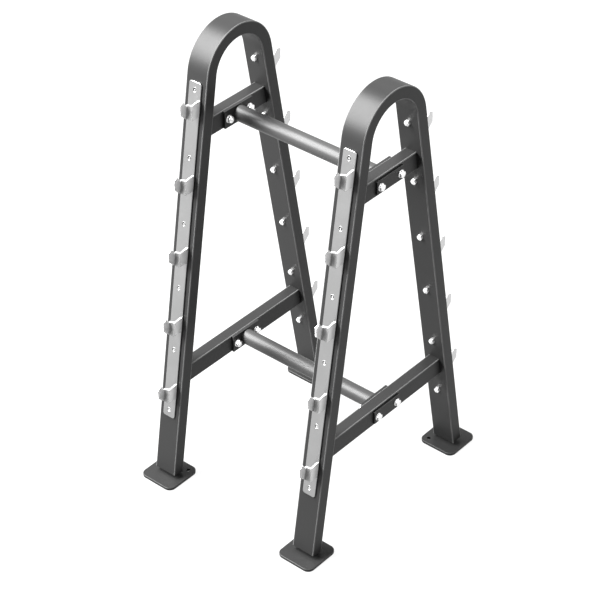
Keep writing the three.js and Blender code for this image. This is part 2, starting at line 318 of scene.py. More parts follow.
def grain_group():
    """Cloudy variation of a colour, a roughness and a fine pebbled height."""
    name = "fine_grain"
    if name in bpy.data.node_groups:
        return bpy.data.node_groups[name]
    group = new_group(
        name,
        [
            ("Color", "NodeSocketColor", (0.5, 0.5, 0.5, 1)),
            ("Shade", "NodeSocketFloat", 0.1),
            ("Roughness", "NodeSocketFloat", 0.5),
            ("Roughness Spread", "NodeSocketFloat", 0.08),
            ("Cloud Scale", "NodeSocketFloat", 12.0),
            ("Pebble Scale", "NodeSocketFloat", 900.0),
        ],
        [("Color", "NodeSocketColor"), ("Roughness", "NodeSocketFloat"), ("Height", "NodeSocketFloat")],
    )
    given, out = group_ends(group)
    place = add_node(group, "ShaderNodeTexCoord").outputs["Object"]
    cloud = add_node(group, "ShaderNodeTexNoise", Vector=place, Scale=given["Cloud Scale"], Detail=4.0)
    pebble = add_node(group, "ShaderNodeTexNoise", Vector=place, Scale=given["Pebble Scale"], Detail=2.0)
    centred = math_node(group, "SUBTRACT", cloud.outputs["Fac"], 0.5)
    gain = math_node(group, "ADD", math_node(group, "MULTIPLY", centred, given["Shade"]), 1.0)
    scaling = {"operation": "SCALE"}
    tinted = add_node(group, "ShaderNodeVectorMath", scaling, Vector=given["Color"], Scale=gain)
    spread = math_node(group, "MULTIPLY", centred, given["Roughness Spread"])
    group.links.new(tinted.outputs["Vector"], out["Color"])
    group.links.new(math_node(group, "ADD", spread, given["Roughness"]), out["Roughness"])
    group.links.new(pebble.outputs["Fac"], out["Height"])
    return group


def mask_group():
    """Mixes a second colour in where a mask is, broken up by noise."""
    name = "masked_colour"
    if name in bpy.data.node_groups:
        return bpy.data.node_groups[name]
    group = new_group(
        name,
        [
            ("Color", "NodeSocketColor", (0.5, 0.5, 0.5, 1)),
            ("Masked Color", "NodeSocketColor", (0.7, 0.7, 0.7, 1)),
            ("Mask", "NodeSocketFloat", 0.0),
            ("Amount", "NodeSocketFloat", 0.5),
            ("Breaks", "NodeSocketFloat", 0.5),
            ("Scale", "NodeSocketFloat", 60.0),
        ],
        [("Color", "NodeSocketColor")],
    )
    given, out = group_ends(group)
    place = add_node(group, "ShaderNodeTexCoord").outputs["Object"]
    patches = add_node(group, "ShaderNodeTexNoise", Vector=place, Scale=given["Scale"], Detail=5.0)
    broken = math_node(group, "MULTIPLY", patches.outputs["Fac"], given["Breaks"])
    kept = math_node(group, "MULTIPLY", math_node(group, "SUBTRACT", 1.0, broken), given["Amount"])
    amount = math_node(group, "MULTIPLY", kept, given["Mask"])
    mix = group.nodes.new("ShaderNodeMix")
    mix.data_type = "RGBA"
    colours = [s for s in mix.inputs if s.type == "RGBA"]
    group.links.new(amount, mix.inputs[0])
    group.links.new(given["Color"], colours[0])
    group.links.new(given["Masked Color"], colours[1])
    group.links.new(next(s for s in mix.outputs if s.type == "RGBA"), out["Color"])
    return group


def place_group(tree, group, **sockets):
    """Puts a group in a material and returns its outputs."""
    return add_node(tree, "ShaderNodeGroup", {"node_tree": group}, **sockets).outputs


def opaque(colour):
    return (*colour[:3], 1.0)


def lighter(colour, factor):
    return opaque([min(1.0, channel * factor) for channel in colour])


def new_material(name):
    material = bpy.data.materials.new(name)
    material.use_nodes = True
    return material, material.node_tree, material.node_tree.nodes["Principled BSDF"]


def mask(tree, name):
    """A mask that the faces carry."""
    return add_node(tree, "ShaderNodeAttribute", {"attribute_name": name}).outputs["Fac"]


def grey(level):
    return (level, level, level, 1.0)


def coat_material(name, gain=1, edges_worn_and_lit=1, shine=1):
    """Satin powder coat with fine pebbled grain, uneven gloss, paler edges and painted shade in the holes.

    The edges are paler partly from wear and partly as a painted highlight, and the holes' walls are painted
    black as shade. The gain lightens the colour, the edge wear and highlight is how much of it the edges
    have, and the shine is its gloss.
    """
    if name in bpy.data.materials:
        return bpy.data.materials[name]
    looks = bpy.context.scene.rack_looks
    material, tree, shader = new_material(name)
    grain = place_group(
        tree, grain_group(), Color=lighter(looks.coat_colour, gain), Shade=0.25,
        Roughness=looks.coat_roughness, Roughness_Spread=0.12, Cloud_Scale=9.0, Pebble_Scale=1100.0)
    # Paler edges: partly worn coat, partly a painted highlight along the rounded corners.
    worn_and_lit_edges = place_group(
        tree, mask_group(), Color=grain["Color"], Mask=mask(tree, "edge"),
        Masked_Color=lighter(looks.coat_colour, looks.coat_edge_wear_and_highlight), Amount=edges_worn_and_lit, Breaks=0.5, Scale=25.0)
    # Masked places, such as the anchor holes' walls, are painted black as shade and made fully rough.
    shade_amount = mask(tree, "painted_shade")
    shade_darkened = place_group(
        tree, mask_group(), Color=worn_and_lit_edges["Color"], Mask=shade_amount, Masked_Color=grey(0.0), Amount=1.0,
        Breaks=0.0, Scale=25.0)
    bump = add_node(tree, "ShaderNodeBump", Strength=0.12, Distance=0.0004, Height=grain["Height"])
    tree.links.new(shade_darkened["Color"], shader.inputs["Base Color"])
    tree.links.new(math_node(tree, "MAXIMUM", grain["Roughness"], shade_amount), shader.inputs["Roughness"])
    tree.links.new(bump.outputs["Normal"], shader.inputs["Normal"])
    shader.inputs["Specular IOR Level"].default_value = looks.coat_gloss * shine
    return material


def metal_material(name, colour, roughness, brush_scale, metallic, layers, tab_loss=0):
    """Bare or plated steel with fine brush lines, a cloudy tone and a grey for each marked area.

    A layer is a mask, its grey level and how far noise breaks it up. Tabs are less metallic by the loss.
    """
    if name in bpy.data.materials:
        return bpy.data.materials[name]
    material, tree, shader = new_material(name)
    grain = place_group(
        tree, grain_group(), Color=opaque(colour), Shade=0.16, Roughness=roughness,
        Roughness_Spread=0.15, Cloud_Scale=14.0, Pebble_Scale=700.0)
    tone = grain["Color"]
    for label, level, breaks in layers:
        tone = place_group(
            tree, mask_group(), Color=tone, Mask=mask(tree, label), Masked_Color=grey(level), Amount=1.0,
            Breaks=breaks, Scale=40.0)["Color"]
    place = add_node(tree, "ShaderNodeTexCoord").outputs["Object"]
    along = add_node(tree, "ShaderNodeMapping", Vector=place, Scale=brush_scale)
    brush = add_node(tree, "ShaderNodeTexNoise", Vector=along.outputs["Vector"], Scale=1.0, Detail=3.0)
    bump = add_node(tree, "ShaderNodeBump", Strength=0.1, Distance=0.0002, Height=brush.outputs["Fac"])
    tree.links.new(tone, shader.inputs["Base Color"])
    tree.links.new(grain["Roughness"], shader.inputs["Roughness"])
    tree.links.new(bump.outputs["Normal"], shader.inputs["Normal"])
    loss = math_node(tree, "MULTIPLY", mask(tree, "tab"), tab_loss)
    tree.links.new(math_node(tree, "SUBTRACT", metallic, loss), shader.inputs["Metallic"])
    return material


def strip_material():
    looks = bpy.context.scene.rack_looks
    layers = (
        # The tabs' lighter grey is a painted reflection.
        ("tab", looks.tab_tone, 0.1),
        # The steps' outer faces are painted darker as shade.
        ("painted_shade", looks.step_shade_tone, 0.25),
        # The broken edges' grey is painted light, set to tune how bright their highlights look.
        ("edge", looks.rim_tone, 0.15),
    )
    return metal_material(
        "brushed_strip", looks.strip_colour, looks.strip_roughness, (900.0, 40.0, 40.0),
        looks.strip_metallic, layers, tab_loss=looks.strip_metallic - looks.tab_metallic)


def fastener_material():
    looks = bpy.context.scene.rack_looks
    # The sockets' rings are painted dark as shade.
    layers = (("tab", looks.head_tone, 0.1), ("painted_shade", looks.socket_shade_tone, 0.1))
    return metal_material(
        "bright_zinc", looks.zinc_colour, looks.zinc_roughness, (300.0, 300.0, 300.0), 1.0, layers)


# Sizes and colours that a user would change

class RackSizes(bpy.types.PropertyGroup):
    """Sizes of the rack's pieces, in metres."""

    leg_splay: FloatProperty(
        name="Leg splay", description="Angle of each leg from upright", default=math.radians(9.7),
        subtype="ANGLE")
    arch_centre: FloatProperty(
        name="Arch centre", description="Height of the centre of the arch", default=1.33, unit="LENGTH")
    arch_radius: FloatProperty(
        name="Arch radius", description="Outer radius of the arch", default=0.14, unit="LENGTH")
    tube_depth: FloatProperty(
        name="Tube depth", description="Narrow side of the frame tube", default=0.04, unit="LENGTH")
    tube_width: FloatProperty(
        name="Tube width", description="Wide side of the frame tube", default=0.08, unit="LENGTH")
    tube_corner: FloatProperty(
        name="Tube corner", description="Corner radius of the frame tube", default=0.003, unit="LENGTH")
    bar_width: FloatProperty(
        name="Bar width", description="Width of a crossbar along the stored bars", default=0.04,
        unit="LENGTH")
    bar_height: FloatProperty(
        name="Bar height", description="Height of a crossbar", default=0.06, unit="LENGTH")
    bar_corner: FloatProperty(
        name="Bar corner", description="Corner radius of a crossbar", default=0.003, unit="LENGTH")
    plate_corner: FloatProperty(
        name="Plate corner", description="Corner radius of a base plate", default=0.022, unit="LENGTH")
    anchor_hole: FloatProperty(
        name="Anchor hole", description="Radius of a base plate's anchor hole", default=0.006,
        unit="LENGTH")
    anchor_inset: FloatProperty(
        name="Anchor inset", description="Distance from the plate's edges to its anchor hole",
        default=0.023, unit="LENGTH")
    tie_radius: FloatProperty(
        name="Tie radius", description="Outer radius of a tie tube", default=0.025, unit="LENGTH")
    strip_width: FloatProperty(
        name="Strip width", description="Width of a hook strip", default=0.046, unit="LENGTH")
    strip_thickness: FloatProperty(
        name="Strip thickness", description="Thickness of a hook strip", default=0.005, unit="LENGTH")
    strip_corner: FloatProperty(
        name="Strip corner", description="Corner radius of a hook strip", default=0.008, unit="LENGTH")
    hook_thickness: FloatProperty(
        name="Hook thickness", description="Thickness of a hook tab", default=0.006, unit="LENGTH")
    hook_joggle: FloatProperty(
        name="Hook joggle", description="How far a tab steps over to the strip's middle", default=0.02,
        unit="LENGTH")
    hook_arm: FloatProperty(
        name="Hook arm", description="Distance from the strip to the tab's step", default=0.028,
        unit="LENGTH")
    hook_reach: FloatProperty(
        name="Hook reach", description="Distance from the strip to the tab's end", default=0.061,
        unit="LENGTH")
    hook_height: FloatProperty(
        name="Hook height", description="Height of a tab below its level top edge", default=0.05,
        unit="LENGTH")
    saddle_drop: FloatProperty(
        name="Saddle drop", description="Fall of the top edge across the tab's step", default=0.01,
        unit="LENGTH")
    hook_count: IntProperty(
        name="Hooks", description="Hooks on each leg", default=5, min=1)
    screw_count: IntProperty(
        name="Screws", description="Screws on each strip", default=6, min=2)


class RackLooks(bpy.types.PropertyGroup):
    """Colours and gloss of the rack's finishes."""

    coat_colour: FloatVectorProperty(
        name="Coat", description="Colour of the powder coat", default=(0.016, 0.016, 0.016), size=3,
        subtype="COLOR", min=0, max=1)
    coat_roughness: FloatProperty(
        name="Coat roughness", description="Roughness of the powder coat", default=0.42, min=0, max=1)
    coat_gloss: FloatProperty(
        name="Coat gloss", description="Specular level of the powder coat", default=0.185, min=0, max=1)
    # The edges' paler colour is partly wear and partly a painted highlight.
    coat_edge_wear_and_highlight: FloatProperty(
        name="Edge wear and highlight", description="How much paler the coat's edges are, from wear and a painted highlight", default=9.0, min=1)
    strip_colour: FloatVectorProperty(
        name="Strip", description="Colour of the hook strips", default=(0.27, 0.27, 0.27), size=3,
        subtype="COLOR", min=0, max=1)
    # The tabs' lighter grey is a painted reflection.
    tab_tone: FloatProperty(
        name="Tab tone", description="Grey level of the hook tabs", default=0.7, min=0, max=1)
    # The tabs' steps are painted darker as shade where they face out from the leg.
    step_shade_tone: FloatProperty(
        name="Step shade tone", description="Grey level of the painted shade on the tabs' steps", default=0.15, min=0, max=1)
    # The broken edges' grey is painted light, set to tune how bright their highlights look.
    rim_tone: FloatProperty(
        name="Rim tone", description="Grey level of the strips' and tabs' broken edges", default=0.3, min=0,
        max=1)
    strip_roughness: FloatProperty(
        name="Strip roughness", description="Roughness of the hook strips", default=0.3, min=0, max=1)
    strip_metallic: FloatProperty(
        name="Strip metal", description="How metallic the hook strips are", default=0.9, min=0, max=1)
    tab_metallic: FloatProperty(
        name="Tab metal", description="How metallic the hook tabs are", default=0.35, min=0, max=1)
    zinc_colour: FloatVectorProperty(
        name="Zinc", description="Colour of the zinc plate", default=(0.86, 0.86, 0.86), size=3,
        subtype="COLOR", min=0, max=1)
    zinc_roughness: FloatProperty(
        name="Zinc roughness", description="Roughness of the zinc plate", default=0.5, min=0, max=1)
    head_tone: FloatProperty(
        name="Head tone", description="Grey level of the strip screws' heads", default=0.36, min=0, max=1)
    # The rings in the strip screws' sockets are painted dark as shade.
    socket_shade_tone: FloatProperty(
        name="Socket shade tone", description="Grey level of the painted shade in the sockets", default=0.02, min=0, max=1)


# Frames

class RACK_OT_arch_tubes(bpy.types.Operator):
    """Bends each frame's tube over two legs and cuts its feet level"""

    bl_idname = "rack.arch_tubes"
    bl_label = "Arch Tubes"
    bend_steps = 72
    corner_steps = 5

    def execute(self, context):
        for name in FRAMES:
            self.add_tube(context.scene.rack_sizes, name)
        return {"FINISHED"}

    def add_tube(self, sizes, name):
        node = f"{name}_arch_tube"
        floor_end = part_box(node)[0].z
        splay = sizes.leg_splay
        middle = sizes.arch_radius - sizes.tube_depth / 2
        centre = Vector((frame_middle(name), 0, sizes.arch_centre))
        bm = new_bmesh()
        face = rounded_loop(bm, sizes.tube_width, sizes.tube_depth, sizes.tube_corner, self.corner_steps)
        bmesh.ops.delete(bm, geom=[face], context="FACES_ONLY")
        move(bm, Matrix.Translation(centre) @ Matrix.Rotation(-splay, 4, "X")
             @ Matrix.Translation((0, -middle, 0)))
        first = bm.edges[:]
        made = bmesh.ops.spin(
            bm, geom=bm.verts[:] + first, cent=centre, axis=(1, 0, 0), angle=2 * splay - math.pi,
            steps=self.bend_steps, use_duplicate=False)
        last = edges_in(made["geom_last"])
        length = sizes.arch_centre / math.cos(splay)
        for edges, side in ((first, -1), (last, 1)):
            grown = bmesh.ops.extrude_edge_only(bm, edges=edges)["geom"]
            down = Vector((0, side * math.sin(splay), -math.cos(splay)))
            bmesh.ops.translate(bm, verts=verts_in(grown), vec=down * length)
        cut_level(bm, (0, 0, floor_end), (0, 0, -1))
        mark_corners(bm, sizes.tube_corner / 2)
        finish_piece(bm, f"{name}_arch", coat_material("arch_satin"), [node])


class RACK_OT_crossbars(bpy.types.Operator):
    """Cuts the crossbars between the legs of each frame"""

    bl_idname = "rack.crossbars"
    bl_label = "Crossbars"
    corner_steps = 5

    def execute(self, context):
        sizes = context.scene.rack_sizes
        for name in FRAMES:
            for level in LEVELS:
                self.add_bar(sizes, name, level)
        return {"FINISHED"}

    def add_bar(self, sizes, name, level):
        node = f"{name}_{level}_crossbar"
        low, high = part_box(node)
        bm = new_bmesh()
        section = rounded_loop(bm, sizes.bar_width, sizes.bar_height, sizes.bar_corner, self.corner_steps)
        length = high.y - low.y
        thicken(bm, [section], 2 * length)
        bm = settled(bm)
        place = Matrix.Translation(((low.x + high.x) / 2, length, (low.z + high.z) / 2))
        move(bm, place @ Matrix.Rotation(math.pi / 2, 4, "X"))
        for side, reach in ((-1, low.y), (1, high.y)):
            normal = (0, side * math.cos(sizes.leg_splay), math.sin(sizes.leg_splay))
            cut_level(bm, (0, reach, low.z), normal)
        mark_corners(bm, sizes.bar_corner / 2)
        finish_piece(bm, f"{name}_{level}_bar", coat_material("crossbar_satin"), [node])


class RACK_OT_base_plates(bpy.types.Operator):
    """Makes the base plates, each with rounded corners and one anchor hole"""

    bl_idname = "rack.base_plates"
    bl_label = "Base Plates"
    corner_steps = 10
    hole_sides = 32
    hole_edge = 0.0003
    edge = 0.0016
    edge_steps = 3

    def execute(self, context):
        sizes = context.scene.rack_sizes
        for name, position in FRAMES.items():
            for side, out in SIDES.items():
                self.add_plate(sizes, f"{name}_{side}_base_plate", -position, -out)
        return {"FINISHED"}

    def add_plate(self, sizes, node, inward, middle):
        low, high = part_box(node)
        size = high.x - low.x
        inset = size / 2 - sizes.anchor_inset
        bm = new_bmesh()
        plate = rounded_loop(bm, size, size, sizes.plate_corner, self.corner_steps)
        bmesh.ops.delete(bm, geom=[plate], context="FACES_ONLY")
        centre = Vector((inward * inset, middle * inset))
        add_circle(bm, centre, sizes.anchor_hole, self.hole_sides)
        fill_plate(bm, high.z - low.z)
        break_edges(bm, rim_edges(bm, centre, sizes.anchor_hole), self.hole_edge)
        break_edges(bm, sharp_edges(bm), self.edge, self.edge_steps)
        # The anchor hole's walls are marked to be painted black as shade.
        painted_shade = bm.faces.layers.float["painted_shade"]
        for face in bm.faces:
            away = (face.calc_center_median().xy - centre).length
            face[painted_shade] = float(away < sizes.anchor_hole * SLACK)
        move(bm, Matrix.Translation(((low.x + high.x) / 2, (low.y + high.y) / 2, low.z)))
        coat = coat_material("plate_satin", edges_worn_and_lit=0.15)
        finish_piece(bm, node.replace("base_plate", "foot"), coat, [node])


# Ties between the frames

class RACK_OT_tie_tubes(bpy.types.Operator):
    """Makes the round tubes that tie the frames together"""

    bl_idname = "rack.tie_tubes"
    bl_label = "Tie Tubes"
    sides = 64

    def execute(self, context):
        sizes = context.scene.rack_sizes
        for level in LEVELS:
            node = f"{level}_tie_tube"
            low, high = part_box(node)
            bm = new_bmesh()
            bmesh.ops.create_cone(
                bm, cap_ends=True, segments=self.sides, radius1=sizes.tie_radius,
                radius2=sizes.tie_radius, depth=high.x - low.x)
            move(bm, Matrix.Translation((low + high) / 2) @ Matrix.Rotation(math.pi / 2, 4, "Y"))
            # The tie tubes' coat is painted lighter than the rest, standing in for their broad highlight.
            coat = coat_material("tube_satin", gain=2.4, shine=1.35)
            finish_piece(bm, f"{level}_tie", coat, [node])
        return {"FINISHED"}


class RACK_OT_bolted_plates(bpy.types.Operator):
    """Makes the flanges and backing plates that clamp the crossbars"""

    bl_idname = "rack.bolted_plates"
    bl_label = "Bolted Plates"
    edge = 0.0008
    edge_steps = 2

    def execute(self, context):
        for name in FRAMES:
            for level in LEVELS:
                for kind in ("tie_flange", "backing_plate"):
                    self.add_plate(f"{name}_{level}_{kind}")
        return {"FINISHED"}

    def add_plate(self, node):
        low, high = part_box(node)
        bm = new_bmesh()
        bmesh.ops.create_cube(bm, size=1)
        bmesh.ops.scale(bm, vec=high - low, verts=bm.verts[:])
        break_edges(bm, bm.edges[:], self.edge, self.edge_steps)
        move(bm, Matrix.Translation((low + high) / 2))
        piece = node.replace("tie_flange", "flange").replace("backing_plate", "backing")
        finish_piece(bm, piece, coat_material("tie_satin", edges_worn_and_lit=0.3), [node])


# Fasteners

def hex_block(bm, flats, height, seat, side):
    """A hexagonal block on a seat on the Z axis, on the side of it given as 1 or -1.

    Its free end is turned to a cone, so that its corners are cut back in curves.
    """
    apothem = flats / 2
    crown = HEX_CROWN * apothem
    block = new_bmesh()
    bmesh.ops.create_circle(block, segments=HEX_STEPS, radius=apothem)
    for vert in block.verts:
        off_middle = math.atan2(vert.co.y, vert.co.x) % HEX_SIDE - HEX_SIDE / 2
        vert.co /= math.cos(off_middle)
    wall = bmesh.ops.extrude_edge_only(block, edges=block.edges[:])["geom"]
    for vert in verts_in(wall):
        vert.co.z = height - (vert.co.xy.length - crown) * math.tan(HEX_SLOPE)
    rim = [edge for edge in edges_in(wall) if edge.is_boundary]
    for vert in verts_in(bmesh.ops.extrude_edge_only(block, edges=rim)["geom"]):
        vert.co = (*(vert.co.xy.normalized() * crown), height)
    cap_openings(block)
    turn = Matrix() if side > 0 else Matrix.Rotation(math.pi, 4, "X")
    add_copy(bm, block, Matrix.Translation((0, 0, seat)) @ turn)
    block.free()


def pin_profile(radius, bottom, top, chamfer, rise):
    """A round pin's profile with both ends chamfered, from its top to its bottom."""
    end = radius - chamfer
    return [(end, top), (radius, top - rise), (radius, bottom + rise), (end, bottom)]


def turned_part(bm, profile, segments):
    """A round part on the Z axis from its profile of radius and height, from its top to its bottom."""
    part = new_bmesh()
    radius, height = profile[0]
    ring = bmesh.ops.create_circle(part, segments=segments, radius=radius)["verts"]
    bmesh.ops.translate(part, verts=ring, vec=(0, 0, height))
    edges = part.edges[:]
    for radius, height in profile[1:]:
        grown = bmesh.ops.extrude_edge_only(part, edges=edges)["geom"]
        for vert in verts_in(grown):
            vert.co = (*(vert.co.xy.normalized() * radius), height)
        edges = [edge for edge in edges_in(grown) if edge.is_boundary]
    cap_openings(part)
    add_copy(bm, part)
    part.free()


class RACK_OT_tie_bolts(bpy.types.Operator):
    """Makes the bolts that hold the ties, each with two washers and a nut"""

    bl_idname = "rack.tie_bolts"
    bl_label = "Tie Bolts"
    radius = 0.006
    flats = 0.019
    head = 0.0075
    nut = 0.010
    washer = 0.012
    washer_thickness = 0.0025
    thread_end = 0.003
    edge = 0.0006
    shank_sides = 32
    washer_sides = 48

    def execute(self, context):
        for name, position in FRAMES.items():
            for level in LEVELS:
                for side in SIDES:
                    self.add_bolt(f"{name}_{level}_{side}_tie_bolt", position)
        return {"FINISHED"}

    def add_bolt(self, node, outward):
        low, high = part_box(node)
        length = high.x - low.x
        head_seat = length - self.head - self.washer_thickness
        nut_top = self.thread_end + self.nut
        bm = new_bmesh()
        turned_part(bm, pin_profile(self.radius, 0, head_seat, self.edge, self.edge), self.shank_sides)
        for seat in (nut_top, head_seat):
            top = seat + self.washer_thickness
            profile = pin_profile(self.washer, seat, top, self.edge, self.edge / 2)
            turned_part(bm, profile, self.washer_sides)
        hex_block(bm, self.flats, self.nut, nut_top, -1)
        hex_block(bm, self.flats, self.head, head_seat + self.washer_thickness, 1)
        start = low.x if outward > 0 else high.x
        centre = (low + high) / 2
        move(bm, Matrix.Translation((start, centre.y, centre.z))
             @ Matrix.Rotation(outward * math.pi / 2, 4, "Y"))
        finish_piece(bm, node.replace("tie_bolt", "bolt"), fastener_material(), [node])


class RACK_OT_strip_screws(bpy.types.Operator):
    """Makes the countersunk screws that hold the strips, each with its nut"""

    bl_idname = "rack.strip_screws"
    bl_label = "Strip Screws"
    radius = 0.004
    sides = 40
    head_height = 0.004
    nut_flats = 0.016
    nut_height = 0.008
    thread_end = 0.003
    socket_radius = 0.0064
    socket_depth = 0.0022
    socket_pin = 0.0021
    pin_depth = 0.0006
    socket_lip = 0.0004
    socket_shade_fade = 0.16

    def execute(self, context):
        sizes = context.scene.rack_sizes
        for name in FRAMES:
            for side in SIDES:
                for index in range(sizes.screw_count):
                    self.add_screw(sizes, name, side, index + 1)
        return {"FINISHED"}

    def add_screw(self, sizes, name, side, number):
        node = f"{name}_{side}_strip_screw_{number}"
        local = leg_matrix(sizes, name, side).inverted() @ node_centre(node)
        face = sizes.arch_radius + SEAT_GAP + sizes.strip_thickness
        grip = sizes.strip_thickness + 2 * SEAT_GAP + sizes.tube_depth
        end = grip + self.nut_height + self.thread_end
        bm = new_bmesh()
        turned_part(bm, [
            (self.socket_pin, -self.pin_depth),
            (self.socket_pin, -self.socket_depth),
            (self.socket_radius, -self.socket_depth),
            (self.socket_radius, -self.socket_lip),
            (self.socket_radius + self.socket_lip, 0),
            (SCREW_HEAD - self.socket_lip, 0),
            (SCREW_HEAD, -self.socket_lip),
            (self.radius, -self.head_height),
            (self.radius, self.socket_lip - end),
            (self.radius - self.socket_lip, -end),
        ], self.sides)
        # The ring's painted shade is darkest on the top screw and fades on lower ones.
        self.mark_head(bm, 1 - self.socket_shade_fade * (number - 1))
        hex_block(bm, self.nut_flats, self.nut_height, -grip, -1)
        move(bm, leg_matrix(sizes, name, side) @ Matrix.Translation((0, face, local.z))
             @ Matrix.Rotation(-math.pi / 2, 4, "X"))
        finish_piece(bm, f"{name}_{side}_screw_{number}", fastener_material(), [node])

    def mark_head(self, bm, shade_amount):
        """The head is about as dull as the strip, and the ring round the socket's pin is painted dark as
        shade.
        """
        painted_shade = bm.faces.layers.float["painted_shade"]
        tab = bm.faces.layers.float["tab"]
        for face in bm.faces:
            height = face.calc_center_median().z
            outer = max(v.co.xy.length for v in face.verts)
            if height < -self.socket_depth * SLACK:
                continue
            if outer > self.socket_radius * SLACK:
                face[tab] = 1
            elif height < -self.socket_lip and len(face.verts) == 4:
                face[tab] = 1
                face[painted_shade] = shade_amount


# Hook strips

class RACK_OT_hook_strips(bpy.types.Operator):
    """Makes the flat strips with their joggled hook tabs"""

    bl_idname = "rack.hook_strips"
    bl_label = "Hook Strips"
    corner_steps = 6
    strip_edge = 0.0016
    edge_steps = 2
    hole_clearance = 0.0002
    hole_sides = 40
    hole_edge = 0.0005
    strip_end = 0.025
    first_hook = 0.027
    last_hook = 0.1
    chamfer_run = 0.022
    chamfer_rise = 0.022
    lip_reach = 0.047
    lip_rise = 0.009
    lip_shoulder = 0.0025
    hook_edge = 0.0006
    root_sink = 0.0008
    broken_angle = math.radians(50)
    step_facing = 0.7
    # The saddle's fall along the arm and across the step, as shares of the way and of the whole drop
    arm_fall = ((0.3, 0), (0.7, 0.12))
    step_fall = ((0, 0.3), (0.5, 0.6), (1, 0.85))
    # The lip's rounded peak and the shoulder at the tab's end, each as steps out and up from its corner
    lip_curve = ((-0.002, -0.0022), (-0.0006, -0.0003), (0.0012, -0.0006))
    shoulder_curve = ((-0.001, 0.0004), (0, -0.001))

    def execute(self, context):
        sizes = context.scene.rack_sizes
        hook = self.hook_tab(sizes)
        for name in FRAMES:
            for side in SIDES:
                self.add_strip(sizes, name, side, hook)
        hook.free()
        return {"FINISHED"}

    def screw_span(self, sizes, name, side):
        """The heights up the leg of the strip's first and last screw."""
        inverse = leg_matrix(sizes, name, side).inverted()
        first = inverse @ node_centre(f"{name}_{side}_strip_screw_1")
        last = inverse @ node_centre(f"{name}_{side}_strip_screw_{sizes.screw_count}")
        return first.z, last.z

    def add_strip(self, sizes, name, side, hook):
        top, bottom = self.screw_span(sizes, name, side)
        bm = self.strip_plate(sizes, top, bottom)
        first = top - self.first_hook
        last = bottom + self.last_hook
        pitch = (first - last) / max(1, sizes.hook_count - 1)
        for index in range(sizes.hook_count):
            place = (0, sizes.strip_thickness, first - pitch * index)
            add_copy(bm, hook, Matrix.Translation(place))
        seat = Matrix.Translation((0, sizes.arch_radius + SEAT_GAP, 0))
        move(bm, leg_matrix(sizes, name, side) @ seat)
        node = f"{name}_{side}_hook_strip"
        finish_piece(bm, f"{name}_{side}_strip", strip_material(), [node])

    def strip_plate(self, sizes, top, bottom):
        """The flat strip in its leg's axes, with a hole for each screw."""
        span = top - bottom
        pitch = span / (sizes.screw_count - 1)
        centres = [Vector((0, span / 2 - pitch * index)) for index in range(sizes.screw_count)]
        radius = SCREW_HEAD + self.hole_clearance
        length = span + 2 * self.strip_end
        bm = new_bmesh()
        plate = rounded_loop(bm, sizes.strip_width, length, sizes.strip_corner, self.corner_steps)
        bmesh.ops.delete(bm, geom=[plate], context="FACES_ONLY")
        for centre in centres:
            add_circle(bm, centre, radius, self.hole_sides)
        fill_plate(bm, sizes.strip_thickness)
        rims = [edge for centre in centres for edge in rim_edges(bm, centre, radius)]
        break_edges(bm, rims, self.hole_edge)
        break_edges(bm, sharp_edges(bm), self.strip_edge, self.edge_steps)
        upright = Matrix(((1, 0, 0, 0), (0, 0, 1, 0), (0, 1, 0, (top + bottom) / 2), (0, 0, 0, 1)))
        move(bm, upright)
        return bm

    def tab_path(self, sizes):
        """The tab's middle line seen along the leg: across the strip, and out from it."""
        root = (sizes.strip_width - sizes.hook_thickness) / 2
        end = root - sizes.hook_joggle
        return (
            Vector((root, 0)), Vector((root, sizes.hook_arm)), Vector((end, sizes.hook_arm)),
            Vector((end, sizes.hook_reach)))

    def outline(self, sizes):
        """The flat blank before bending: distance along it, and height up the leg."""
        tan, cos, sin = math.tan(sizes.leg_splay), math.cos(sizes.leg_splay), math.sin(sizes.leg_splay)
        drop, bottom, end = sizes.saddle_drop, -sizes.hook_height, sizes.hook_reach
        first = sizes.hook_arm
        second = first + sizes.hook_joggle

        def on_arm(out, rise):
            return out, -out * tan + rise / cos

        def past_step(level, rise):
            out = level * cos + rise * sin
            return out + sizes.hook_joggle, -out * tan + rise / cos

        corner = on_arm(first, 0)[1]
        return [
            on_arm(-self.root_sink, 0),
            *[on_arm(share * first, -fall * drop) for share, fall in self.arm_fall],
            *[(first + share * sizes.hook_joggle, corner - fall * drop) for share, fall in self.step_fall],
            (second + sizes.hook_thickness / 2, corner - drop),
            *[past_step(self.lip_reach + out, self.lip_rise + rise) for out, rise in self.lip_curve],
            *[past_step(end + out, self.lip_shoulder + rise) for out, rise in self.shoulder_curve],
            past_step(end, self.chamfer_rise + bottom),
            past_step(end - self.chamfer_run, bottom),
            (second, on_arm(first, bottom)[1]),
            on_arm(first, bottom),
            on_arm(-self.root_sink, bottom),
        ]

    def fold(self, sizes, distance, offset):
        """Where a point of the blank comes to lie, with the folds mitred through the thickness.

        The distance runs along the blank's middle line, and the offset is away from it.
        """
        path = self.tab_path(sizes)
        mitres = ((0, offset), (-offset, -offset), (offset, 0))
        start = 0
        for index, (first, last) in enumerate(mitres):
            leg = path[index + 1] - path[index]
            if distance <= start + leg.length or index == len(mitres) - 1:
                break
            start += leg.length
        share = (distance - start) / leg.length
        along = leg.normalized()
        across = Vector((along.y, -along.x))
        mitre = first * (1 - share) + last * share
        return path[index] + leg * share + along * mitre + across * offset

